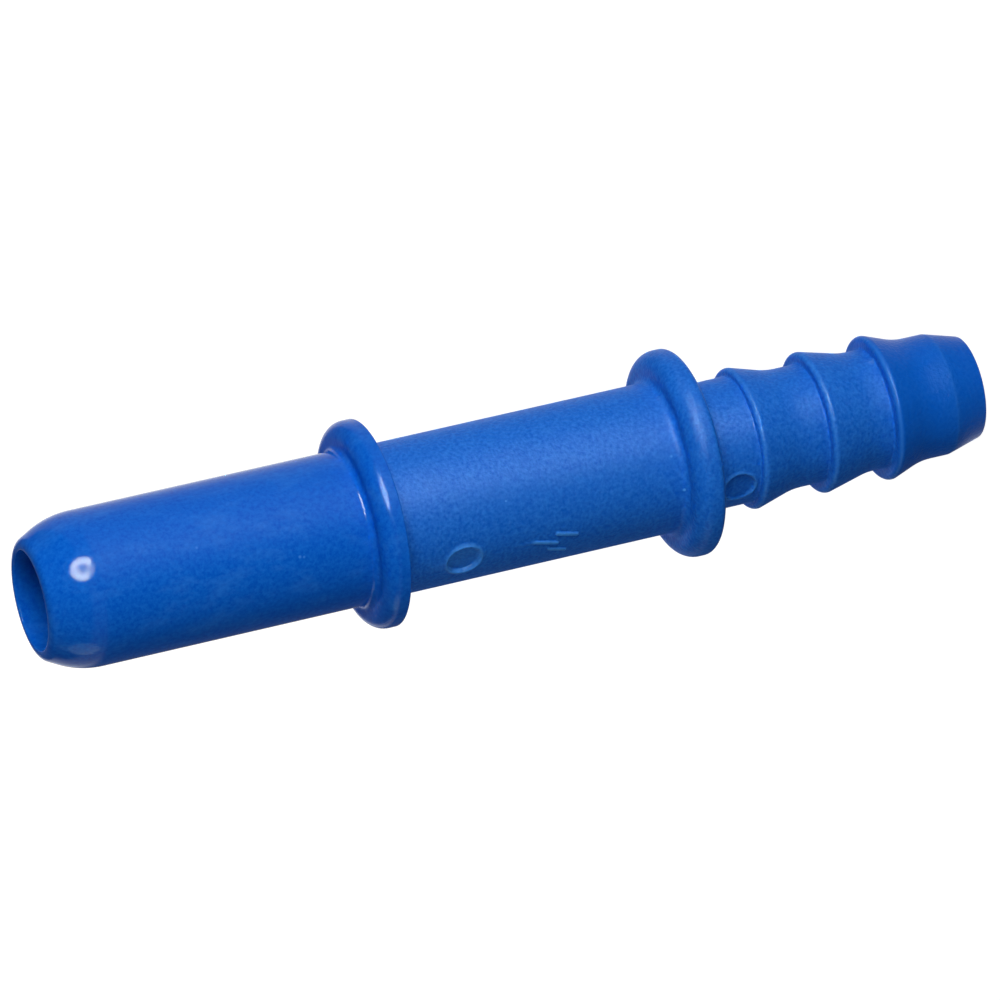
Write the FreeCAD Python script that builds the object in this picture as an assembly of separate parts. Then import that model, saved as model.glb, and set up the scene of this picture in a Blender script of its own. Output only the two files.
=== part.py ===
import FreeCAD, Part
import math
import os

# Hose stem of a quick connector, moulded as one piece with a bore right through it. The smooth spigot
# plugs into the coupling's socket, the latch collar is what its latch holds, and the barbs grip a hose.
# Millimetres. Z is the axis, and the stem stands on its barbed tip at Z = 0 with the spigot up.
# The mould opens along Y, so the parting plane is XZ and the ejector marks face -Y.

# Spigot and its coned nose
spigot_diameter = 9.49
spigot_length = 20.30
nose_cone_length = 2.14
nose_cone_angle = 28.0
nose_blend_radius = 5.5
nose_lip_radius = 0.6
spigot_bore_diameter = 6.14

# Latch collar, at the foot of the spigot
latch_collar_diameter = 12.77
latch_collar_width = 1.51
latch_collar_rim_radius = 1.0

# Plain shank between the collars
shank_diameter = 9.26
shank_length = 18.59

# Hose collar, which stops the hose
hose_collar_diameter = 12.80
hose_collar_width = 1.84
hose_collar_rim_radius = 1.07
hose_collar_back_chamfer = 0.35
hose_collar_root_radius = 0.45

# Neck between the hose collar and the barbs
neck_diameter = 7.83
neck_length = 3.27

# Barbs, counted from the tip: each has a straight land, a cone, a narrow crest and a flat shoulder
tip_land_diameter = 7.53
tip_land_length = 1.89
tip_cone_length = 2.16
tip_crest_diameter = 8.97
middle_land_diameter = 7.41
middle_land_length = 1.23
middle_cone_length = 2.86
middle_crest_diameter = 8.76
upper_land_diameter = 7.38
upper_land_length = 1.92
upper_cone_length = 2.55
upper_crest_diameter = 8.76
crest_width = 0.15

# Tapered tip that starts the hose
tip_diameter = 6.34
tip_taper_length = 2.13
hose_bore_diameter = 4.80

# The bore narrows in a cone inside the hose collar
bore_step_angle = 45.0

# Flat marks that the ejector pins leave on the shank and on the neck
shank_mark_diameter = 2.15
shank_mark_below_latch_collar = 4.10
neck_mark_diameter = 2.0
mark_depth = 0.05


def fillet_lengths(points, radii):
    """How far each rounding reaches along its two edges, cut back where an edge is too short for it."""
    count = len(points)
    reaches = []
    for i in range(count):
        before = points[i - 1] - points[i]
        after = points[(i + 1) % count] - points[i]
        reaches.append(radii[i] / math.tan(before.getAngle(after) / 2))
    limited = list(reaches)
    for i in range(count):
        j = (i + 1) % count
        wanted = reaches[i] + reaches[j]
        room = 0.98 * points[i].distanceToPoint(points[j])
        if wanted > room:
            limited[i] = min(limited[i], reaches[i] * room / wanted)
            limited[j] = min(limited[j], reaches[j] * room / wanted)
    return limited


def corner_arc(before, corner, after, reach):
    """The arc that rounds a corner, touching its edges at the given reach from it."""
    to_before = (before - corner).normalize()
    to_after = (after - corner).normalize()
    half_angle = to_before.getAngle(to_after) / 2
    bisector = (to_before + to_after).normalize()
    radius = reach * math.tan(half_angle)
    middle = corner + bisector * (reach / math.cos(half_angle) - radius)
    return Part.Arc(corner + to_before * reach, middle, corner + to_after * reach).toShape()


def turned_solid(corners):
    """Solid of revolution about Z from (radius, height, rounding) corners, counter-clockwise in XZ."""
    points = [FreeCAD.Vector(radius, 0, height) for radius, height, rounding in corners]
    reaches = fillet_lengths(points, [rounding for radius, height, rounding in corners])
    count = len(points)
    edges = []
    for i in range(count):
        corner = points[i]
        following = points[(i + 1) % count]
        along = (following - corner).normalize()
        if reaches[i] > 0:
            edges.append(corner_arc(points[i - 1], corner, following, reaches[i]))
        run_start = corner + along * reaches[i]
        run_end = following - along * reaches[(i + 1) % count]
        edges.append(Part.makeLine(run_start, run_end))
    face = Part.Face(Part.Wire(edges))
    return face.revolve(FreeCAD.Vector(0, 0, 0), FreeCAD.Vector(0, 0, 1), 360)


# Barbs from the tip up, each as its land's diameter and length, its cone's length and its crest's diameter
barbs = (
    (tip_land_diameter, tip_land_length, tip_cone_length, tip_crest_diameter),
    (middle_land_diameter, middle_land_length, middle_cone_length, middle_crest_diameter),
    (upper_land_diameter, upper_land_length, upper_cone_length, upper_crest_diameter),
)

# Heights above the tip, added up from the lengths
barb_lengths = [land_length + cone_length + crest_width for _, land_length, cone_length, _ in barbs]
neck_foot = tip_taper_length + sum(barb_lengths)
hose_collar_foot = neck_foot + neck_length
shank_foot = hose_collar_foot + hose_collar_width
latch_collar_foot = shank_foot + shank_length
spigot_foot = latch_collar_foot + latch_collar_width
nose_top = spigot_foot + spigot_length


def barbed_tail_corners():
    """Outline of the tip's taper and the barbs, from the axis at the tip to the last barb's crest."""
    corners = [(0, 0, 0), (tip_diameter / 2, 0, 0)]
    foot = tip_taper_length
    for land_diameter, land_length, cone_length, crest_diameter in barbs:
        cone_foot = foot + land_length
        crest_foot = cone_foot + cone_length
        shoulder = crest_foot + crest_width
        corners += [
            (land_diameter / 2, foot, 0),
            (land_diameter / 2, cone_foot, 0),
            (crest_diameter / 2, crest_foot, 0),
            (crest_diameter / 2, shoulder, 0),
        ]
        foot = shoulder
    return corners


def collars_and_spigot_corners():
    """Outline of the neck, the collars, the shank and the spigot, up to the axis at the nose."""
    nose_radius = spigot_diameter / 2 - nose_cone_length * math.tan(math.radians(nose_cone_angle))
    return [
        (neck_diameter / 2, neck_foot, 0),
        (neck_diameter / 2, hose_collar_foot, 0),
        (hose_collar_diameter / 2 - hose_collar_back_chamfer, hose_collar_foot, 0),
        (hose_collar_diameter / 2, hose_collar_foot + hose_collar_back_chamfer, 0),
        (hose_collar_diameter / 2, shank_foot, hose_collar_rim_radius),
        (shank_diameter / 2, shank_foot, hose_collar_root_radius),
        (shank_diameter / 2, latch_collar_foot, 0),
        (latch_collar_diameter / 2, latch_collar_foot, 0),
        (latch_collar_diameter / 2, spigot_foot, latch_collar_rim_radius),
        (spigot_diameter / 2, spigot_foot, 0),
        (spigot_diameter / 2, nose_top - nose_cone_length, nose_blend_radius),
        (nose_radius, nose_top, nose_lip_radius),
        (0, nose_top, 0),
    ]


def bore():
    """Wide bore from the nose, a cone inside the hose collar, and a narrow bore out of the tip."""
    wide = spigot_bore_diameter / 2
    narrow = hose_bore_diameter / 2
    step_length = (wide - narrow) / math.tan(math.radians(bore_step_angle))
    return turned_solid([
        (0, 0, 0),
        (narrow, 0, 0),
        (narrow, shank_foot - step_length, 0),
        (wide, shank_foot, 0),
        (wide, nose_top, 0),
        (0, nose_top, 0),
    ])


def ejector_mark(surface_diameter, height, mark_diameter):
    """Round cutter that leaves a flat disc just below a round surface, facing -Y."""
    chord_plane = math.sqrt((surface_diameter / 2) ** 2 - (mark_diameter / 2) ** 2)
    bottom = FreeCAD.Vector(0, mark_depth - chord_plane, height)
    return Part.makeCylinder(mark_diameter / 2, surface_diameter / 2, bottom, FreeCAD.Vector(0, -1, 0))


def connector_body():
    """The whole stem."""
    shank_mark_height = latch_collar_foot - shank_mark_below_latch_collar
    neck_mark_height = neck_foot + neck_length / 2
    body = turned_solid(barbed_tail_corners() + collars_and_spigot_corners())
    body = body.cut(bore())
    body = body.cut(ejector_mark(shank_diameter, shank_mark_height, shank_mark_diameter))
    body = body.cut(ejector_mark(neck_diameter, neck_mark_height, neck_mark_diameter))
    return body


os.makedirs("parts", exist_ok=True)
connector_body().exportStep("parts/connector_body.step")
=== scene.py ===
import math

import bpy
import numpy as np
from mathutils import Matrix, Vector


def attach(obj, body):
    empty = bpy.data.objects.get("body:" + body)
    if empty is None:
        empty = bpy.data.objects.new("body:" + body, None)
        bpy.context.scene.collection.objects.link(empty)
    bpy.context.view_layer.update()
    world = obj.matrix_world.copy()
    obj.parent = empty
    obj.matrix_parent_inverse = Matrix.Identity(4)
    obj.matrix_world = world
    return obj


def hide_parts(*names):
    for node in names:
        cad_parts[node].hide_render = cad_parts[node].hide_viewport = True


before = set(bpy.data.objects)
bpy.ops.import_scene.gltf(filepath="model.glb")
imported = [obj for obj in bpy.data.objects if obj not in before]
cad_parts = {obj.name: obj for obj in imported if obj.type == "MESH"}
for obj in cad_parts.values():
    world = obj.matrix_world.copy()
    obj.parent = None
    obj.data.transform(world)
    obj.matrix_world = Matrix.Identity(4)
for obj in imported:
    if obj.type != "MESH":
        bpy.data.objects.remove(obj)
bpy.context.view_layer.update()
print("frame loaded")

metresPerMm = 0.001


def newMesh(name, vertices, faces):
    mesh = bpy.data.meshes.new(name)
    mesh.from_pydata(vertices, [], faces)
    mesh.update()
    made = bpy.data.objects.new(name, mesh)
    bpy.context.scene.collection.objects.link(made)
    return made


def smoothStep(amount):
    # 0 below 0, 1 above 1, and 3 t^2 - 2 t^3 between
    t = np.clip(amount, 0.0, 1.0)
    return t * t * (3.0 - 2.0 * t)


# The outline of half a section through the stem, in mm: radius, height, rounding and points on the rounding.
# It runs from the hose bore's mouth up the outside, over the lip and down the bore again.
stem = {
    "outline": np.array([
        (2.400, 0.00, 0.10, 5),     # mouth of the hose bore
        (3.170, 0.00, 0.12, 6),     # tip
        (3.765, 2.13, 0.60, 5),
        (3.765, 4.02, 4.00, 8),     # tip barb
        (4.613, 6.33, 0.30, 11),
        (3.705, 6.33, 0.12, 5),
        (3.705, 7.56, 4.00, 8),     # middle barb
        (4.465, 10.57, 0.30, 11),
        (3.690, 10.57, 0.12, 5),
        (3.690, 12.49, 4.50, 8),    # upper barb
        (4.479, 15.19, 0.30, 11),
        (3.915, 15.19, 0.12, 5),    # neck
        (3.915, 18.46, 0.15, 5),
        (6.400, 18.46, 0.44, 9),    # hose collar
        (6.400, 20.30, 1.07, 15),
        (4.630, 20.30, 0.45, 9),    # shank
        (4.630, 38.89, 0.08, 4),
        (6.385, 38.89, 0.08, 5),    # latch collar
        (6.385, 40.40, 1.00, 15),
        (4.745, 40.40, 0.38, 9),    # spigot
        (4.745, 58.56, 5.50, 19),   # nose
        (3.607, 60.70, 0.65, 9),    # lip
        (3.070, 60.70, 0.10, 5),
        (3.070, 20.30, 0.20, 4),    # step in the bore
        (2.400, 19.63, 0.20, 4),
    ]),
    "highlightHeights": (              # painted highlights on the crests and the fold: height, spread and strength
        (6.19, 0.10, 0.26), (10.43, 0.10, 0.26), (15.05, 0.10, 0.26), (2.13, 0.10, 0.14),
    ),
    "edgeShare": 0.96,              # how much of an edge its two roundings may take together
    "rowSpacing": 1.3,              # mm between rows along a straight run
    "straightRun": 0.25,            # mm, the shortest piece that counts as a straight run
    "holdingGap": 0.05,             # mm from a rounding to the row that keeps the run beside it flat
    "leastGap": 0.015,              # mm between any two rows
    "fineHeights": ((15.45, 17.95, 34), (27.20, 30.20, 50), (33.55, 36.05, 40)),
    "fineAngles": ((-21.0, 21.5, 88), (92.0, 99.0, 18)),    # degrees from -Y towards +X, and columns
    "bandMargin": 1.0,              # degrees between a fine band and the columns beside it
    "otherColumns": 132,
}


def roundedOutline(corners, edgeShare):
    # An arc that touches both edges stands for each corner. Its ends lie radius / tan(half the corner's
    # angle) along the edges, cut back where an edge is too short, and between them the direction from its
    # centre is turned evenly.
    place = corners[:, :2]
    before = np.roll(place, 1, axis=0) - place
    after = np.roll(place, -1, axis=0) - place
    edge = np.linalg.norm(after, axis=1)
    before = before / np.linalg.norm(before, axis=1)[:, None]
    after = after / edge[:, None]
    half = 0.5 * np.arccos(np.sum(before * after, axis=1))
    reach = corners[:, 2] / np.tan(half)
    share = np.minimum(1.0, edgeShare * edge / (reach + np.roll(reach, -1)))
    reach = reach * np.minimum(share, np.roll(share, 1))
    inwards = (before + after) / np.linalg.norm(before + after, axis=1)[:, None]
    centre = place + inwards * (reach / np.cos(half))[:, None]
    first = place + before * reach[:, None] - centre
    last = place + after * reach[:, None] - centre
    turn = math.pi - 2.0 * half
    steps = corners[:, 3].astype(int)
    which = np.repeat(np.arange(len(corners)), steps)
    t = (np.arange(len(which)) - np.repeat(np.cumsum(steps) - steps, steps)) / (steps[which] - 1)
    firstPart = np.sin((1.0 - t) * turn[which]) / np.sin(turn[which])
    lastPart = np.sin(t * turn[which]) / np.sin(turn[which])
    return centre[which] + firstPart[:, None] * first[which] + lastPart[:, None] * last[which]


def outlineRows(settings):
    # Every point of the rounded outline, with more of them along the straight runs and at the fine heights
    points = roundedOutline(settings["outline"], settings["edgeShare"])
    closed = np.vstack([points, points[:1]])
    pieces = np.linalg.norm(np.diff(closed, axis=0), axis=1)
    along = np.concatenate([[0.0], np.cumsum(pieces)])
    longStarts = along[:-1][pieces > settings["straightRun"]]
    longEnds = along[1:][pieces > settings["straightRun"]]
    spaced = np.arange(0.0, along[-1], settings["rowSpacing"])
    spaced = spaced[pieces[np.searchsorted(along, spaced, side="right") - 1] > settings["rowSpacing"]]
    outside = np.arange(len(closed)) < np.argmax(closed[:, 1])
    fine = np.concatenate([np.linspace(*band) for band in settings["fineHeights"]])
    fine = np.interp(fine, closed[outside, 1], along[outside])
    rows = np.concatenate([along[:-1], longStarts + settings["holdingGap"],
                           longEnds - settings["holdingGap"], spaced, fine])
    rows = np.unique(np.round(rows, 4))
    rows = rows[np.append(True, np.diff(rows) > settings["leastGap"])]
    isOutside = rows < along[np.argmax(closed[:, 1])]
    return np.interp(rows, along, closed[:, 0]), np.interp(rows, along, closed[:, 1]), isOutside


def columnAngles(settings):
    # Angles from -Y in radians, close together in the fine bands and evenly spaced over the rest
    bands = settings["fineAngles"]
    margin = settings["bandMargin"]
    even = np.linspace(-180.0, 180.0, settings["otherColumns"], endpoint=False)
    clear = np.all([(even < low - margin) | (even > high + margin) for low, high, count in bands], axis=0)
    return np.radians(np.sort(np.concatenate([even[clear]] + [np.linspace(*band) for band in bands])))


# What the mould left on the side that faces -Y, in mm: flat ejector marks with a thin ridge round them,
# and three plain raised bars.
mouldMarks = {
    "discs": (          # surface radius, height, diameter, tilt in degrees to +X, painted light inside and on the ridge
        # Painted light inside a disc is a painted highlight above 0 and painted shade below 0
        (4.630, 34.79, 2.15, 10.0, 0.24, 0.58),
        (3.915, 16.62, 2.00, -3.0, -0.22, 0.42),
    ),
    "depth": 0.05,
    "edgeWidth": 0.05,              # over which a disc's edge drops
    "ridgeHeight": 0.06,
    "ridgeSpread": 0.114,
    "ridgeOffset": 0.05,            # from a disc's edge to the top of its ridge
    "nubs": np.array([              # flash on the parting line: angle from -Y, height, size and rise
        (95.5, 20.61, 0.13, 0.10),
        (96.5, 6.42, 0.16, 0.14),
    ]),
    "strokes": np.array([           # from (across, height) to (across, height)
        (0.15, 30.28, -0.30, 28.80),
        (-0.73, 29.27, -1.14, 28.21),
        (0.43, 28.81, 0.07, 27.55),
    ]),
    "strokeRadius": 4.630,
    "strokeWidth": 0.24,
    "strokeSlope": 0.07,            # width of its sloping sides
    "strokeHeight": 0.10,
    # how much paler the bars are drawn
    "strokePaleness": 0.7,
}


def discRelief(angle, height, disc, settings):
    # Inside the disc the surface is the plane a little below the chord across it, turned by the tilt, and
    # the ridge is a bell-shaped swelling at the disc's edge. The cosine is held at 0.5 or more only to keep
    # the far side, where there is no disc, finite.
    surfaceRadius, discHeight, diameter, tilt, insidePaintedLight, ridgeHighlight = disc
    across = surfaceRadius * np.sin(angle)
    away = np.hypot(across, height - discHeight)
    away = np.where(np.cos(angle) > 0.0, away, np.inf)
    chordPlane = math.sqrt(surfaceRadius ** 2 - (0.5 * diameter) ** 2) - settings["depth"]
    flat = (chordPlane + across * math.tan(math.radians(tilt))) / np.maximum(np.cos(angle), 0.5)
    inside = smoothStep((0.5 * diameter - away) / settings["edgeWidth"] + 0.5)
    ridge = np.exp(-((away - 0.5 * diameter - settings["ridgeOffset"]) / settings["ridgeSpread"]) ** 2)
    # The last value is painted light: a painted highlight on the ridge, and inside the disc a painted
    # highlight where the inside value is above 0 and painted shade where it is below 0
    return inside, flat, ridge, ridgeHighlight * ridge + insidePaintedLight * inside * (1.0 - ridge)


def strokeRelief(angle, height, settings):
    # 1 on the strokes and 0 off them: the distance to the nearest stroke's middle line gives a ridge with a
    # flat top and sloping sides
    across = settings["strokeRadius"] * angle
    one = settings["strokes"][:, None, None, :2]
    other = settings["strokes"][:, None, None, 2:]
    point = np.stack([across, height], axis=-1)[None]
    line = other - one
    share = np.clip(np.sum((point - one) * line, axis=-1) / np.sum(line * line, axis=-1), 0.0, 1.0)
    away = np.linalg.norm(point - one - share[..., None] * line, axis=-1).min(axis=0)
    return smoothStep((0.5 * settings["strokeWidth"] - away) / settings["strokeSlope"] + 0.5)


def nubRelief(radius, angle, height, settings):
    # Bell-shaped bumps over the distance along the surface
    nubAngle, nubHeight, size, rise = settings["nubs"].T[:, :, None, None]
    across = radius * (angle - np.radians(nubAngle))
    return np.sum(rise * np.exp(-(across ** 2 + (height - nubHeight) ** 2) / size ** 2), axis=0)


def stemSurface(settings, marks):
    # The outline turned round Z: x = r sin(angle), y = -r cos(angle), with the marks added to r outside.
    # The painted-light attribute is above 0 where the colour is paled: painted highlights on the crests, the
    # tip's fold and the ejector marks' ridges, painted light inside the shank's ejector mark, and the paler
    # bars.
    # It is below 0 where painted shade darkens the inside of the neck's ejector mark.
    radius, height, isOutside = outlineRows(settings)
    angle = columnAngles(settings)
    radii, turns = np.meshgrid(radius, angle, indexing="ij")
    heights = np.repeat(height[:, None], len(angle), axis=1)
    strokes = strokeRelief(turns, heights, marks)
    relief = marks["strokeHeight"] * strokes + nubRelief(radii, turns, heights, marks)
    paintedLight = marks["strokePaleness"] * strokes
    for disc in marks["discs"]:
        inside, flat, ridge, discPaintedLight = discRelief(turns, heights, disc, marks)
        relief = relief + inside * (flat - radii) + marks["ridgeHeight"] * ridge
        paintedLight = paintedLight + discPaintedLight
    # Painted highlights along the barbs' crests and the tip's fold
    for crestHeight, spread, strength in settings["highlightHeights"]:
        paintedLight = paintedLight + strength * np.exp(-((heights - crestHeight) / spread) ** 2)
    radii = radii + np.where(isOutside[:, None], relief, 0.0)
    paintedLight = np.where(isOutside[:, None], np.clip(paintedLight, -1.0, 1.0), 0.0)
    vertices = np.stack([radii * np.sin(turns), -radii * np.cos(turns), heights], axis=-1)
    rowCount, columnCount = radii.shape
    index = np.arange(rowCount * columnCount).reshape(rowCount, columnCount)
    nextRow = np.roll(index, -1, axis=0)
    nextColumn = np.roll(index, -1, axis=1)
    nextBoth = np.roll(nextRow, -1, axis=1)
    faces = np.stack([index, nextColumn, nextBoth, nextRow], axis=-1).reshape(-1, 4)
    print("stem surface:", rowCount, "rows,", columnCount, "columns,", 2 * len(faces), "triangles")
    return vertices.reshape(-1, 3) * metresPerMm, faces, paintedLight.ravel()


vertices, faces, paintedLights = stemSurface(stem, mouldMarks)
moulding = newMesh("connector_moulding", vertices.tolist(), faces.tolist())
moulding.data.attributes.new("paintedLight", "FLOAT", "POINT").data.foreach_set("value", paintedLights)
moulding.data.polygons.foreach_set("use_smooth", np.ones(len(moulding.data.polygons), dtype=bool))
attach(moulding, "root")
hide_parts("connector_body")


def newNode(tree, kind, **inputs):
    node = tree.nodes.new(kind)
    for key, value in inputs.items():
        node.inputs[key.replace("_", " ")].default_value = value
    return node


# The plastic: polished from the latch collar up, satin on the hose collar, and spark-eroded to a fine matt
# grain elsewhere. Lengths are in metres above the tip.
plastic = {
    "colour": (0.000, 0.078, 0.480, 1.0),
    "paleColour": (0.005, 0.122, 0.560, 1.0),
    "mattColour": (0.000, 0.089, 0.490, 1.0),
    "mattPaleColour": (0.014, 0.152, 0.600, 1.0),
    # The pale colour of the wisp scuffs and the specks, and of the painted highlights and painted light
    "scuffAndHighlightColour": (0.080, 0.350, 0.820, 1.0),
    # Painted shade inside the neck's ejector mark
    "paintedShadeColour": (0.000, 0.050, 0.330, 1.0),
    "polishedRoughness": 0.11,
    "collarRoughness": 0.20,
    "satinRoughness": 0.40,
    "mattRoughness": 0.43,
    "polishedFrom": 0.03888,
    "collarTo": 0.04052,
    "satinMiddle": 0.01938,
    "satinHalf": 0.00095,
    "zoneBlend": 0.00002,           # half the width over which one finish becomes the next
    "grainScale": 4600.0,
    "grainDepth": 0.00004,
    "satinGrain": 0.8,              # how much of the grain the satin part has
    "mottleScale": 3800.0,
    "toneRange": (0.30, 0.70),      # noise values that give the plain and the pale colour
    "wispScale": 620.0,
    "wispStretch": (1.0, 1.0, 0.45),
    "wispTurn": (0.35, 0.25, 0.0),
    "wispRange": (0.50, 0.72),
    "wispStrength": 0.13,
    "tipTo": 0.00632,
    "tipRoughness": 0.31,
    "tipPlainnessAndShade": 0.70,           # less pale grain on the tip: a smoother finish, and painted shade
    "paintedLightStrength": 0.65,
    "specularLevel": 0.05,
    "speckCore": 0.3,               # the part of a speck's size that has its full strength
    "specks": (                     # angle from -Y, surface radius, height, size in mm and strength
        (18.5, 4.66, 20.58, 0.13, 0.9),
        (45.5, 4.42, 6.50, 0.14, 0.8),
        (46.0, 4.63, 21.10, 0.12, 0.5),
        (41.0, 4.63, 31.90, 0.09, 0.5),
        (35.0, 4.745, 45.20, 0.13, 0.35),
        (34.2, 4.745, 44.95, 0.10, 0.30),
        (58.0, 4.745, 51.30, 0.12, 0.25),
    ),
}


def zoneMask(tree, height, edge, above):
    # 1 on one side of a height above the tip and 0 on the other
    mask = newNode(tree, "ShaderNodeMapRange", From_Min=edge - plastic["zoneBlend"],
                   From_Max=edge + plastic["zoneBlend"], To_Min=0.0 if above else 1.0,
                   To_Max=1.0 if above else 0.0)
    tree.links.new(height, mask.inputs["Value"])
    return mask.outputs["Result"]


def mathNode(tree, operation, first, second):
    node = tree.nodes.new("ShaderNodeMath")
    node.operation = operation
    for socket, value in zip(node.inputs, (first, second)):
        if isinstance(value, (int, float)):
            socket.default_value = value
        else:
            tree.links.new(value, socket)
    return node.outputs[0]


def colourMix(tree, blend, amount, first, second):
    node = tree.nodes.new("ShaderNodeMix")
    node.data_type = "RGBA"
    node.blend_type = blend
    for socket, value in zip((node.inputs[0], node.inputs[6], node.inputs[7]), (amount, first, second)):
        if isinstance(value, (int, float, tuple)):
            socket.default_value = value
        else:
            tree.links.new(value, socket)
    return node.outputs[2]


def contrast(tree, value, low, high):
    # Stretches a value so that low becomes 0 and high becomes 1
    stretch = newNode(tree, "ShaderNodeMapRange", From_Min=low, From_Max=high)
    tree.links.new(value, stretch.inputs["Value"])
    return stretch.outputs["Result"]


def speckMask(tree, place, settings):
    # The largest of the specks' values, each falling from its strength at its middle to 0 at its edge
    total = 0.0
    for angle, radius, speckHeight, size, strength in settings["specks"]:
        turn = math.radians(angle)
        away = tree.nodes.new("ShaderNodeVectorMath")
        away.operation = "DISTANCE"
        away.inputs[1].default_value = (metresPerMm * radius * math.sin(turn),
                                        -metresPerMm * radius * math.cos(turn), metresPerMm * speckHeight)
        tree.links.new(place, away.inputs[0])
        core = settings["speckCore"] * metresPerMm * size
        near = mathNode(tree, "MULTIPLY", strength,
                        contrast(tree, away.outputs["Value"], metresPerMm * size, core))
        total = mathNode(tree, "MAXIMUM", total, near)
    return total


def plasticMaterial(settings):
    material = bpy.data.materials.new("blueNylon")
    material.use_nodes = True
    tree = material.node_tree
    link = tree.links.new
    shader = tree.nodes["Principled BSDF"]
    shader.inputs["Specular IOR Level"].default_value = settings["specularLevel"]
    place = tree.nodes.new("ShaderNodeTexCoord").outputs["Object"]
    axes = tree.nodes.new("ShaderNodeSeparateXYZ")
    link(place, axes.inputs["Vector"])
    height = axes.outputs["Z"]

    polished = zoneMask(tree, height, settings["polishedFrom"], True)
    satin = mathNode(tree, "MULTIPLY",
                     zoneMask(tree, height, settings["satinMiddle"] - settings["satinHalf"], True),
                     zoneMask(tree, height, settings["satinMiddle"] + settings["satinHalf"], False))
    matt = mathNode(tree, "SUBTRACT", mathNode(tree, "SUBTRACT", 1.0, polished), satin)
    collar = mathNode(tree, "MULTIPLY", polished, zoneMask(tree, height, settings["collarTo"], False))
    tipZone = zoneMask(tree, height, settings["tipTo"], False)

    grain = newNode(tree, "ShaderNodeTexNoise", Scale=settings["grainScale"], Detail=1.5, Roughness=0.6)
    link(place, grain.inputs["Vector"])
    mottle = newNode(tree, "ShaderNodeTexNoise", Scale=settings["mottleScale"], Detail=3.0, Roughness=0.6)
    link(place, mottle.inputs["Vector"])
    paintedLight = tree.nodes.new("ShaderNodeAttribute")
    paintedLight.attribute_name = "paintedLight"

    grainBump = newNode(tree, "ShaderNodeBump", Distance=settings["grainDepth"])
    grainStrength = mathNode(tree, "ADD", matt, mathNode(tree, "MULTIPLY", satin, settings["satinGrain"]))
    link(grainStrength, grainBump.inputs["Strength"])
    link(grain.outputs["Fac"], grainBump.inputs["Height"])
    link(grainBump.outputs["Normal"], shader.inputs["Normal"])

    roughness = mathNode(tree, "ADD", mathNode(tree, "MULTIPLY", polished, settings["polishedRoughness"]),
                         mathNode(tree, "MULTIPLY", satin, settings["satinRoughness"]))
    roughness = mathNode(tree, "ADD", roughness,
                         mathNode(tree, "MULTIPLY", matt, settings["mattRoughness"]))
    roughness = mathNode(tree, "ADD", roughness,
                         mathNode(tree, "MULTIPLY", collar,
                                  settings["collarRoughness"] - settings["polishedRoughness"]))
    roughness = mathNode(tree, "ADD", roughness,
                         mathNode(tree, "MULTIPLY", tipZone,
                                  settings["tipRoughness"] - settings["mattRoughness"]))
    link(roughness, shader.inputs["Roughness"])

    polishedTone = colourMix(tree, "MIX", contrast(tree, mottle.outputs["Fac"], *settings["toneRange"]),
                             settings["colour"], settings["paleColour"])
    # The tip gets less of the pale grain colour: a smoother finish, and painted shade that darkens it
    tipPlainAndShaded = mathNode(tree, "MULTIPLY", tipZone, settings["tipPlainnessAndShade"])
    mattAmount = mathNode(tree, "MULTIPLY", mathNode(tree, "SUBTRACT", 1.0, tipPlainAndShaded),
                          contrast(tree, grain.outputs["Fac"], *settings["toneRange"]))
    mattTone = colourMix(tree, "MIX", mattAmount, settings["mattColour"], settings["mattPaleColour"])
    tone = colourMix(tree, "MIX", mathNode(tree, "SUBTRACT", 1.0, polished), polishedTone, mattTone)

    stretched = tree.nodes.new("ShaderNodeMapping")
    stretched.inputs["Scale"].default_value = settings["wispStretch"]
    stretched.inputs["Rotation"].default_value = settings["wispTurn"]
    link(place, stretched.inputs["Vector"])
    wisp = newNode(tree, "ShaderNodeTexNoise", Scale=settings["wispScale"], Detail=5.0, Roughness=0.7)
    link(stretched.outputs["Vector"], wisp.inputs["Vector"])
    wisps = mathNode(tree, "MULTIPLY", contrast(tree, wisp.outputs["Fac"], *settings["wispRange"]), polished)
    tone = colourMix(tree, "MIX", mathNode(tree, "MULTIPLY", wisps, settings["wispStrength"]), tone,
                     settings["scuffAndHighlightColour"])

    # Specks, and the painted highlights and painted light of the attribute, pale the colour
    specksAndPaintedLight = mathNode(tree, "MAXIMUM", speckMask(tree, place, settings),
                      mathNode(tree, "MULTIPLY", paintedLight.outputs["Fac"], settings["paintedLightStrength"]))
    tone = colourMix(tree, "MIX", specksAndPaintedLight, tone, settings["scuffAndHighlightColour"])
    # Painted shade: where the attribute is below 0 the colour darkens
    tone = colourMix(tree, "MIX", mathNode(tree, "MULTIPLY", paintedLight.outputs["Fac"], -1.0), tone,
                     settings["paintedShadeColour"])
    link(tone, shader.inputs["Base Color"])
    return material


moulding.data.materials.append(plasticMaterial(plastic))
print("plastic done")

# The photograph's view, measured on it: the stem points left with its nose 17.9 degrees towards the camera
camera = {
    "azimuth": 47.5,
    "elevation": 17.87,
    "roll": -102.88,
    "target": (0.0, 0.0, 0.0307),
    "distance": 0.60804,
    "sideways": 0.000026,
    "upwards": -0.000387,
    "lens": 363.6,
    "sensorWidth": 36.0,
}


def viewAxes(settings):
    # Right, up and back of a view that is turned round Z, raised, and then rolled about its own line
    azimuth = math.radians(settings["azimuth"])
    elevation = math.radians(settings["elevation"])
    roll = math.radians(settings["roll"])
    back = Vector((math.sin(azimuth) * math.cos(elevation), -math.cos(azimuth) * math.cos(elevation),
                   math.sin(elevation)))
    levelRight = Vector((math.cos(azimuth), math.sin(azimuth), 0.0))
    levelUp = back.cross(levelRight)
    right = math.cos(roll) * levelRight + math.sin(roll) * levelUp
    return right, back.cross(right), back


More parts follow.
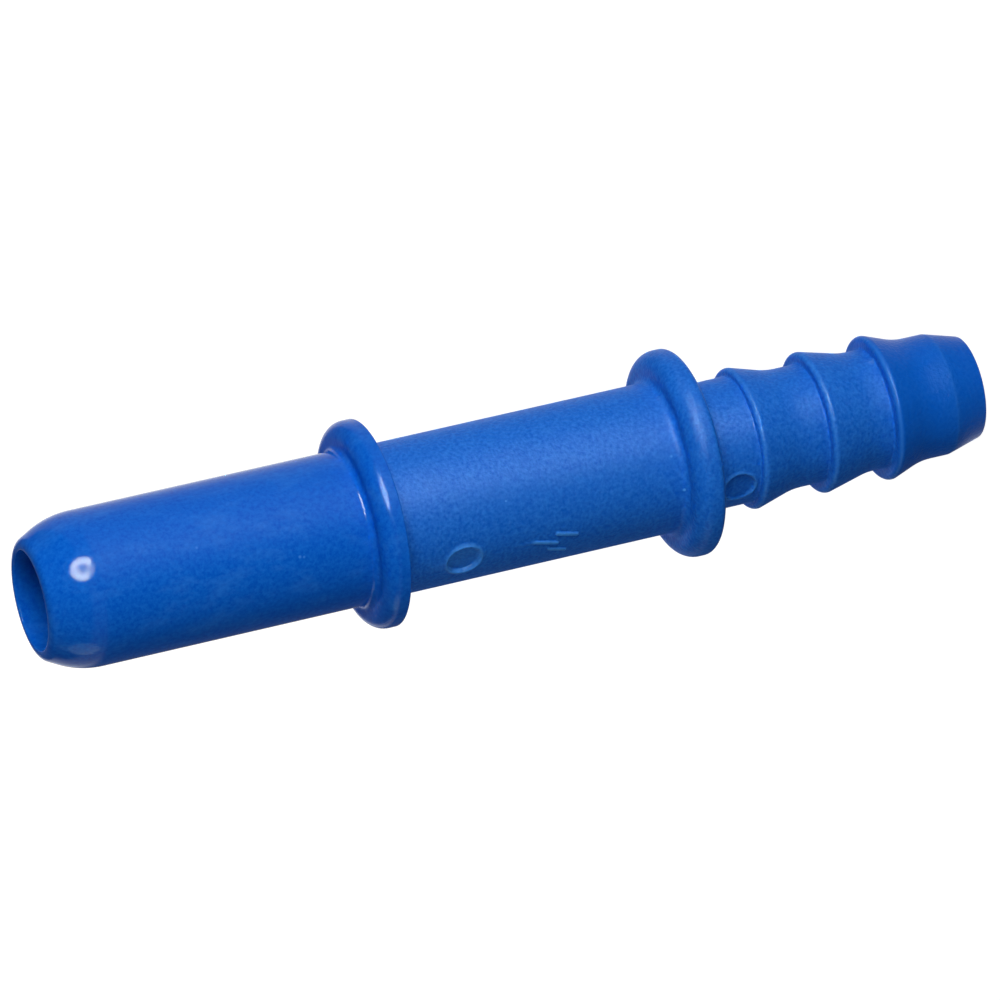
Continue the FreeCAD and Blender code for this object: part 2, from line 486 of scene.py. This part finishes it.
def placeCamera(settings):
    right, up, back = viewAxes(settings)
    data = bpy.data.cameras.new("camera")
    data.lens = settings["lens"]
    data.sensor_width = settings["sensorWidth"]
    data.clip_start = 0.01
    made = bpy.data.objects.new("camera", data)
    spot = (Vector(settings["target"]) + right * settings["sideways"] + up * settings["upwards"]
            + back * settings["distance"])
    made.matrix_world = Matrix.Translation(spot) @ Matrix((right, up, back)).transposed().to_4x4()
    bpy.context.scene.collection.objects.link(made)
    bpy.context.scene.camera = made


placeCamera(camera)

# Lamps, each by its direction from the stem in the photograph's own axes (right, up, towards the camera),
# its distance and radius in metres, and its radiance
lamps = {
    "softBox": {"direction": (-0.10, 0.48, 0.865), "distance": 0.36, "radius": 0.10, "radiance": 12.0,
                "colour": (1.0, 1.0, 1.0), "inGloss": False},
    "lowCard": {"direction": (-0.02, -0.99, -0.137), "distance": 0.50, "radius": 0.11, "radiance": 3.2,
                "colour": (0.70, 1.0, 1.0), "inGloss": True},
    "backLamp": {"direction": (-0.515, -0.118, -0.849), "distance": 0.50, "radius": 0.12, "radiance": 11.0,
                 "colour": (1.0, 1.0, 1.0), "inGloss": False},
}


def placeLamp(name, settings):
    # A disc that faces the stem, whose energy is its radiance times pi times its area
    right, up, back = viewAxes(camera)
    x, y, z = settings["direction"]
    direction = (right * x + up * y + back * z).normalized()
    data = bpy.data.lights.new(name, "AREA")
    data.shape = "DISK"
    data.size = 2.0 * settings["radius"]
    data.energy = settings["radiance"] * (math.pi * settings["radius"]) ** 2
    data.color = settings["colour"]
    made = bpy.data.objects.new(name, data)
    made.location = Vector(camera["target"]) + direction * settings["distance"]
    made.rotation_euler = direction.to_track_quat("Z", "Y").to_euler()
    made.visible_camera = False
    made.visible_glossy = settings["inGloss"]
    bpy.context.scene.collection.objects.link(made)


for lampName, lampSettings in lamps.items():
    placeLamp(lampName, lampSettings)

# The soft box as gloss shows it: a round cloth with a dimmer middle and a dark seam near one side
boxFace = {
    "direction": (-0.013, 0.480, 0.877),
    "distance": 0.60,
    "radius": 0.165,
    "rim": 0.010,                   # over which the cloth's light ends
    "acrossScale": 1.02,            # the cloth is narrower than it is high
    "highScale": 1.18,
    "colour": (1.0, 1.0, 0.62, 1.0),
    "radiance": 26.0,
    "ringRadiance": 140.0,
    "ringRadius": 0.112,
    "ringWidth": 0.046,
    "seamAt": 0.106,
    "seamWidth": 0.026,
    "seamEdge": 0.008,
    "seamLight": 0.25,              # the brightness left in the seam
    "beyondSeam": 0.55,             # and beyond it
    "steps": 90,
}

# The table round the stem, as gloss shows it: brightest where the soft box stands over it and dim below the
# stem in the photograph. Its angles are in degrees from -Y towards +X, and its radii in metres.
floorCard = {
    "firstAngle": -135.0,
    "lastAngle": 178.0,
    "brightAngle": 84.0,
    "brightSpread": 31.0,
    "whiteFrom": 94.0,              # where the dim part begins to turn into plain floor
    "whiteSpan": 25.0,
    "firstBlend": 20.0,
    "innerRadius": 0.0035,
    "innerBlend": 0.0015,
    "brightFrom": 0.012,            # radius where the bright part starts
    "brightBlend": 0.010,
    "outerRadius": 0.40,
    "outerBlend": 0.15,
    "height": 0.0005,
    "brightRadiance": 4.3,
    "dimRadiance": 0.12,
    "floorRadiance": 1.0,
    "steps": 100,
}


def glowObject(name, points, glow, colour):
    # A grid that only gloss sees, as bright as its glow attribute says
    index = np.arange(glow.size).reshape(glow.shape)
    quads = np.stack([index[:-1, :-1], index[1:, :-1], index[1:, 1:], index[:-1, 1:]], axis=-1)
    made = newMesh(name, points.reshape(-1, 3).tolist(), quads.reshape(-1, 4).tolist())
    made.data.attributes.new("glow", "FLOAT", "POINT").data.foreach_set("value", glow.ravel())
    material = bpy.data.materials.new(name + "Glow")
    material.use_nodes = True
    tree = material.node_tree
    tree.nodes.clear()
    output = tree.nodes.new("ShaderNodeOutputMaterial")
    light = newNode(tree, "ShaderNodeEmission", Color=colour)
    painted = tree.nodes.new("ShaderNodeAttribute")
    painted.attribute_name = "glow"
    tree.links.new(painted.outputs["Fac"], light.inputs["Strength"])
    tree.links.new(light.outputs[0], output.inputs["Surface"])
    made.data.materials.append(material)
    made.visible_camera = False
    made.visible_diffuse = False
    made.visible_shadow = False


def makeBoxFace(settings):
    # A square grid whose glow is the cloth's, with the ring a bell over the distance from the middle,
    # nothing outside the radius, and less in the seam and beyond it
    right, up, back = viewAxes(camera)
    x, y, z = settings["direction"]
    normal = (right * x + up * y + back * z).normalized()
    side = (right - normal * right.dot(normal)).normalized()
    rise = normal.cross(side)
    middle = np.array(Vector(camera["target"]) + normal * settings["distance"])
    span = np.linspace(-settings["radius"], settings["radius"], settings["steps"])
    across, high = np.meshgrid(span, span, indexing="ij")
    points = middle + settings["acrossScale"] * across[..., None] * np.array(side)
    points = points + settings["highScale"] * high[..., None] * np.array(rise)
    away = np.hypot(across, high)
    glow = settings["radiance"] + settings["ringRadiance"] * np.exp(
        -((away - settings["ringRadius"]) / settings["ringWidth"]) ** 2)
    glow = glow * smoothStep((settings["radius"] - away) / settings["rim"] + 0.5)
    fromSeam = np.abs(across - settings["seamAt"]) - 0.5 * settings["seamWidth"]
    clear = smoothStep(fromSeam / settings["seamEdge"])
    beside = np.where(across > settings["seamAt"], settings["beyondSeam"], 1.0)
    glow = glow * (settings["seamLight"] + (beside - settings["seamLight"]) * clear)
    glowObject("boxFace", points, glow, settings["colour"])


def makeFloorCard(settings):
    # A flat fan round the stem: dim at the smaller angles, a bell over the bright angle, the floor's own
    # light beyond it, and a blend into the floor at each edge
    degrees = np.linspace(settings["firstAngle"], settings["lastAngle"], settings["steps"])
    radius = np.geomspace(settings["innerRadius"], settings["outerRadius"], settings["steps"])
    degrees, radii = np.meshgrid(degrees, radius, indexing="ij")
    angles = np.radians(degrees)
    points = np.stack([radii * np.sin(angles), -radii * np.cos(angles),
                       np.full(radii.shape, settings["height"])], axis=-1)
    beyond = smoothStep((degrees - settings["whiteFrom"]) / settings["whiteSpan"])
    glow = settings["dimRadiance"] + (settings["floorRadiance"] - settings["dimRadiance"]) * beyond
    bright = np.exp(-((degrees - settings["brightAngle"]) / settings["brightSpread"]) ** 2)
    bright = bright * smoothStep((radii - settings["brightFrom"]) / settings["brightBlend"])
    glow = glow + settings["brightRadiance"] * bright
    blend = smoothStep((radii - settings["innerRadius"]) / settings["innerBlend"])
    blend = blend * smoothStep((settings["outerRadius"] - radii) / settings["outerBlend"])
    blend = blend * smoothStep((degrees - settings["firstAngle"]) / settings["firstBlend"])
    glow = settings["floorRadiance"] + (glow - settings["floorRadiance"]) * blend
    glowObject("floorCard", points, glow, (1.0, 1.0, 1.0, 1.0))


makeFloorCard(floorCard)
makeBoxFace(boxFace)

# The room: a pale floor that reads as white, and even light from all round
room = {
    "floorHalf": 3.0,
    "floorHeight": -0.00002,        # just clear of the tip's end face
    "floorColour": (0.22, 0.22, 0.22, 1.0),
    "floorGlow": 0.95,
    "wallLight": 1.0,               # up to the wall's height, as the sine of the angle above the horizon
    "wallHeight": 0.07,
    "ceilingLight": 0.14,
}


def backgroundRays(tree):
    # 1 for camera, glossy and transmission rays
    path = tree.nodes.new("ShaderNodeLightPath")
    total = path.outputs["Is Camera Ray"]
    for output in ("Is Glossy Ray", "Is Transmission Ray"):
        addition = tree.nodes.new("ShaderNodeMath")
        addition.operation = "MAXIMUM"
        tree.links.new(total, addition.inputs[0])
        tree.links.new(path.outputs[output], addition.inputs[1])
        total = addition.outputs[0]
    return total


def makeFloor(settings):
    half = settings["floorHalf"]
    height = settings["floorHeight"]
    corners = [(-half, -half, height), (half, -half, height), (half, half, height), (-half, half, height)]
    floor = newMesh("floor", corners, [(0, 1, 2, 3)])
    material = bpy.data.materials.new("paleFloor")
    material.use_nodes = True
    tree = material.node_tree
    tree.nodes.clear()
    output = tree.nodes.new("ShaderNodeOutputMaterial")
    matte = newNode(tree, "ShaderNodeBsdfDiffuse", Color=settings["floorColour"])
    glow = newNode(tree, "ShaderNodeEmission")
    both = tree.nodes.new("ShaderNodeAddShader")
    strength = tree.nodes.new("ShaderNodeMath")
    strength.operation = "MULTIPLY"
    strength.inputs[1].default_value = settings["floorGlow"]
    tree.links.new(backgroundRays(tree), strength.inputs[0])
    tree.links.new(strength.outputs[0], glow.inputs["Strength"])
    tree.links.new(matte.outputs[0], both.inputs[0])
    tree.links.new(glow.outputs[0], both.inputs[1])
    tree.links.new(both.outputs[0], output.inputs["Surface"])
    floor.data.materials.append(material)


def lightWorld(settings):
    # Pale walls round the horizon and a dimmer ceiling
    world = bpy.data.worlds.new("room")
    bpy.context.scene.world = world
    world.use_nodes = True
    tree = world.node_tree
    place = tree.nodes.new("ShaderNodeTexCoord")
    axes = tree.nodes.new("ShaderNodeSeparateXYZ")
    strength = newNode(tree, "ShaderNodeMapRange", From_Min=settings["wallHeight"],
                       From_Max=2.0 * settings["wallHeight"], To_Min=settings["wallLight"],
                       To_Max=settings["ceilingLight"])
    tree.links.new(place.outputs["Generated"], axes.inputs["Vector"])
    tree.links.new(axes.outputs["Z"], strength.inputs["Value"])
    tree.links.new(strength.outputs["Result"], tree.nodes["Background"].inputs["Strength"])
    tree.nodes["Background"].inputs["Color"].default_value = (1.0, 1.0, 1.0, 1.0)


makeFloor(room)
lightWorld(room)
bpy.context.scene.view_settings.view_transform = "Standard"
print("camera, lamps and floor done")
